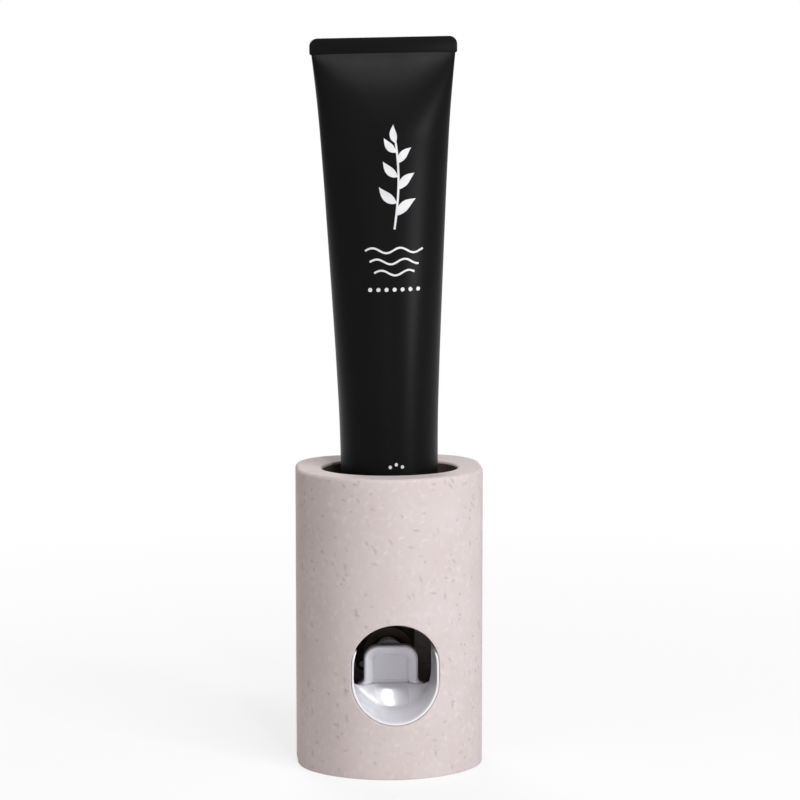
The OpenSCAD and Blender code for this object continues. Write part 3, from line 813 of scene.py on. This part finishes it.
# height, half width, half depth
TUBE_TABLE = np.array([
    [0, 17.5, 17.5], [12, 17.7, 17.4], [30, 17.9, 17.2], [58.8, 19.15, 16.0], [87.4, 20.7, 14.2],
    [115.9, 22.35, 12.0], [144.5, 24.35, 8.2], [157.5, 25.7, 3.4], [TUBE_END, 26.4, 0.6]])


def tube_half(h, column):
    """Half width (1) or half depth (2) at a height, eased between the table's rows."""
    reach = min(9.0, 2 + abs(TUBE_END - h) * 0.6)
    at = np.linspace(h - reach, h + reach, 13)
    table = TUBE_TABLE
    rise, run = table[-1, column] - table[-2, column], table[-1, 0] - table[-2, 0]
    over = table[-1, column] + (at - TUBE_END) * rise / run
    values = np.where(at > TUBE_END, over, np.interp(at, table[:, 0], table[:, column]))
    return float(values.mean())


def tube_power(h):
    """1 is an ellipse; smaller is flatter in front, as the laminate is near the crimp."""
    below = max(0.0, 1 - (TUBE_END - h) / 30)
    return 1 - 0.62 * below ** 1.3


def tube_wave(a, h):
    """Slight dents of the laminate."""
    fade = max(0.0, min(1.0, (h - 30) / 40, (156 - h) / 20))
    return 0.16 * fade * math.sin(h * 0.075 + 1.3) * math.sin(a * 2 + 0.6)


def tube_front(x, h):
    w, d, e = tube_half(h, 1), tube_half(h, 2), tube_power(h)
    c = math.copysign(min(1.0, abs(x) / w) ** (1 / e), x)
    s = math.sqrt(1 - c * c)
    return -d * s ** e - tube_wave(-math.acos(c), h) * s


def lean(x, y, h):
    """Turns a point of the tube with the twist of its upper part and leans it to the left."""
    rise = max(0.0, min(1.0, (h - 40) / 115))
    twist = TUBE_TWIST * rise * rise * (3 - 2 * rise)
    x, y = x * math.cos(twist) - y * math.sin(twist), x * math.sin(twist) + y * math.cos(twist)
    c, s = math.cos(TUBE_LEAN), math.sin(TUBE_LEAN)
    return (x * c - h * s, AXIS_Y + y, SLEEVE_Z + x * s + h * c)


def build_tube():
    shape = Shape()
    sides = 96
    rings = []
    heights = [0, 0.3] + [TUBE_END * (1 - (1 - t) ** 1.35) for t in steps(74)][1:]
    for h in heights:
        w, d, e = tube_half(h, 1), tube_half(h, 2), tube_power(h)
        if h == 0:
            w, d = w - 0.3, d - 0.3
        made = []
        for i in range(sides):
            a = 2 * math.pi * i / sides
            c, s = math.cos(a), math.sin(a)
            x = math.copysign(abs(c) ** e, c) * w
            y = math.copysign(abs(s) ** e, s) * d
            made.append(lean(x, y + tube_wave(a, h) * s, h))
        rings.append(shape.ring(made))
    shape.bar(rings)
    crimp_rings = []
    upper_r, lower_r, half_t = 2.9, 0.8, CRIMP_T / 2
    for grow, y in ((-0.25, -half_t), (-0.06, -0.62), (0.0, -0.42),
                    (0.0, 0.42), (-0.06, 0.62), (-0.25, half_t)):
        outline = []
        for cx, cz, a0 in ((1, 1, 0), (-1, 1, 90), (-1, -1, 180), (1, -1, 270)):
            r = upper_r if cz > 0 else lower_r
            for i in range(9):
                a = math.radians(a0 + 90 * i / 8)
                x = cx * (CRIMP_W / 2 - r) + (r + grow) * math.cos(a)
                z = (TUBE_LEN - r if cz > 0 else CRIMP_Z + r) + (r + grow) * math.sin(a)
                outline.append(lean(x, y, z))
        crimp_rings.append(shape.ring(outline))
    shape.bar(crimp_rings)
    shape.done("tube_body", "tube", BLACK, ["tube_sleeve"], 40)


# Generic print on the tube: a leafy sprig, waves and dots


def ribbon(shape, line, widths):
    """A thin closed band of ink along a line on the front of the tube."""
    line = np.array(line, float)
    ahead = np.gradient(line, axis=0)
    ahead /= np.linalg.norm(ahead, axis=1)[:, None]
    rings = []
    for (x, h), (dx, dh), width in zip(line, ahead, widths):
        sides = []
        for side in (-0.5, 0.5):
            px, ph = x - dh * side * width, h + dx * side * width
            sides.append((px, ph, tube_front(px, ph)))
        (ax, ah, ay), (bx, bh, by) = sides
        rings.append(shape.ring([lean(ax, ay - 0.05, ah), lean(bx, by - 0.05, bh),
                                 lean(bx, by + 0.15, bh), lean(ax, ay + 0.15, ah)]))
    shape.bar(rings)


def leaf(shape, x, h, angle, length, width):
    a = math.radians(angle)
    t = np.linspace(0, 1, 15)
    bend = np.sin(t * math.pi) * length * 0.08
    line = np.c_[x + t * length * math.cos(a) - bend * math.sin(a),
                 h + t * length * math.sin(a) + bend * math.cos(a)]
    ribbon(shape, line, np.maximum(0.12, width * np.sin(math.pi * t ** 0.8)))


def dot(shape, x, h, r):
    t = np.linspace(0.02, 0.98, 9)
    line = np.c_[x + (2 * t - 1) * r, np.full(9, h)]
    ribbon(shape, line, 2 * r * np.sqrt(1 - (2 * t - 1) ** 2))


def build_print():
    shape = Shape()
    middle = 1.2

    def stem_point(t):
        return middle + 1.6 * math.sin(t * 2.6), 100 + 31 * t

    stem = [stem_point(t) for t in steps(30)]
    ribbon(shape, stem, [0.75] * len(stem))
    for t, side in ((0.16, 1), (0.3, -1), (0.46, 1), (0.6, -1), (0.76, 1), (0.88, -1)):
        x, h = stem_point(t)
        leaf(shape, x + side * 0.3, h, 90 - side * (52 - 14 * t), 9.5 - 3.2 * t, 3.6 - 1.0 * t)
    leaf(shape, stem[-1][0], 130.6, 96, 6.5, 2.6)
    for row, h in enumerate((92.5, 88.5, 84.5)):
        half = 10.5 - 1.6 * row
        wave = [(middle - half + 2 * half * t, h + 0.9 * math.sin(t * half * 1.25))
                for t in steps(60)]
        ribbon(shape, wave, [0.7] * len(wave))
    for k in range(-3, 4):
        dot(shape, middle + k * 2.9, 78.5, 0.75)
    for k in (-1, 0, 1):
        dot(shape, middle + k * 2.2, 14.6 + (0.9 if k == 0 else 0), 0.62)
    shape.done("tube_print", "tube", INK, (), 40)


build_shell()
build_bosses()
build_lining()
build_lever()
build_spring()
build_tube()
build_print()


# Floor, light and camera


def white_share(tree):
    """1 for the rays that see the plain white backdrop: the camera's, mirrored and let through."""
    path = tree.nodes.new("ShaderNodeLightPath")
    seen = path.outputs["Is Camera Ray"]
    for kind in ("Is Glossy Ray", "Is Transmission Ray"):
        either = tree.nodes.new("ShaderNodeMath")
        either.operation = "MAXIMUM"
        tree.links.new(seen, either.inputs[0])
        tree.links.new(path.outputs[kind], either.inputs[1])
        seen = either.outputs[0]
    return seen


def build_world():
    world = bpy.data.worlds.new("studio")
    world.use_nodes = True
    tree = world.node_tree
    tree.nodes.clear()
    out = tree.nodes.new("ShaderNodeOutputWorld")
    soft = tree.nodes.new("ShaderNodeBackground")
    soft.inputs["Color"].default_value = (1.0, 0.99, 0.98, 1)
    soft.inputs["Strength"].default_value = 0.03
    white = tree.nodes.new("ShaderNodeBackground")
    white.inputs["Color"].default_value = (1, 1, 1, 1)
    white.inputs["Strength"].default_value = 1.0
    mix = tree.nodes.new("ShaderNodeMixShader")
    tree.links.new(white_share(tree), mix.inputs["Fac"])
    tree.links.new(soft.outputs[0], mix.inputs[1])
    tree.links.new(white.outputs[0], mix.inputs[2])
    tree.links.new(mix.outputs[0], out.inputs["Surface"])
    bpy.context.scene.world = world


def build_floor():
    look = Look("pale_floor", (0.93, 0.93, 0.93), 0.7)
    look.tint(look.ramp(look.noise(60, 3), [(0.3, 0.0), (0.8, 0.5)]), (0.91, 0.91, 0.91))
    tree = look.tree
    glow = look.node("ShaderNodeEmission")
    glow.inputs["Color"].default_value = (1, 1, 1, 1)
    far = look.node("ShaderNodeTexGradient", gradient_type="SPHERICAL")
    look.link(look.place((500, 500, 500)), far.inputs["Vector"])
    keep = look.ramp(far.outputs["Fac"], [(0.0, 1.0), (0.9, 0.72)])
    mix = look.node("ShaderNodeMixShader")
    look.link(look.math("MULTIPLY", white_share(tree), keep), mix.inputs["Fac"])
    look.link(look.shader.outputs["BSDF"], mix.inputs[1])
    look.link(glow.outputs["Emission"], mix.inputs[2])
    look.link(mix.outputs["Shader"], tree.nodes["Material Output"].inputs["Surface"])
    shape = Shape()
    count, reach, thick = 48, 6000, 5
    turn = [2 * math.pi * i / count for i in range(count)]
    rings = [shape.ring([(reach * math.cos(a), reach * math.sin(a), z) for a in turn])
             for z in (0, -thick)]
    shape.bar(rings)
    mesh = shape.mesh("floor")
    mesh.materials.append(look.material)
    floor = add_object("floor", mesh)


LAMP_AIM = Vector((0, 0, 0.09))
COOL, WARM, NEUTRAL = (1.0, 0.995, 1.03), (1, 0.70, 0.48), (1, 1, 1)
# name, angle to the right and up in degrees, distance, width and height, watts, colour
LAMPS = (
    ("high_right", 29, 53, 1.3, (0.4, 0.36), 5.0, COOL),
    ("high_front", 8.7, 50, 1.3, (0.055, 0.34), 3.2, COOL),
    ("low_right", 44, 11, 0.75, (0.07, 0.13), 2.0, COOL),
    ("overhead", -5, 78, 0.9, (0.5, 0.5), 2.0, COOL),
    ("front_fill", -4, 4, 1.5, (0.3, 0.3), 0.5, COOL),
    ("left", -62, 20, 1.5, (0.5, 0.9), 1.2, WARM),
    ("behind", 192, 32, 1.6, (0.8, 0.6), 8.0, NEUTRAL),
)


def soft_box(name, azimuth, elevation, distance, size, power, color):
    """A rectangular lamp that faces the housing, placed by angles in degrees from the front."""
    data = bpy.data.lights.new(name, "AREA")
    data.shape = "RECTANGLE"
    data.size, data.size_y = size
    data.energy = power
    data.color = color
    lamp = add_object(name, data)
    az, el = math.radians(azimuth), math.radians(elevation)
    toward = Vector((math.sin(az) * math.cos(el), -math.cos(az) * math.cos(el), math.sin(el)))
    lamp.location = LAMP_AIM + toward * distance
    lamp.rotation_euler = toward.to_track_quat("Z", "Y").to_euler()


def build_camera():
    data = bpy.data.cameras.new("camera")
    data.lens = 148.46
    data.sensor_width = 36
    camera = add_object("camera", data)
    camera.location = (-0.0929, -1.1874, 0.302)
    camera.rotation_euler = (math.radians(81.987), 0, math.radians(-4.66))
    bpy.context.scene.camera = camera


build_world()
build_floor()
for lamp in LAMPS:
    soft_box(*lamp)
build_camera()
bpy.context.scene.view_settings.view_transform = "Standard"
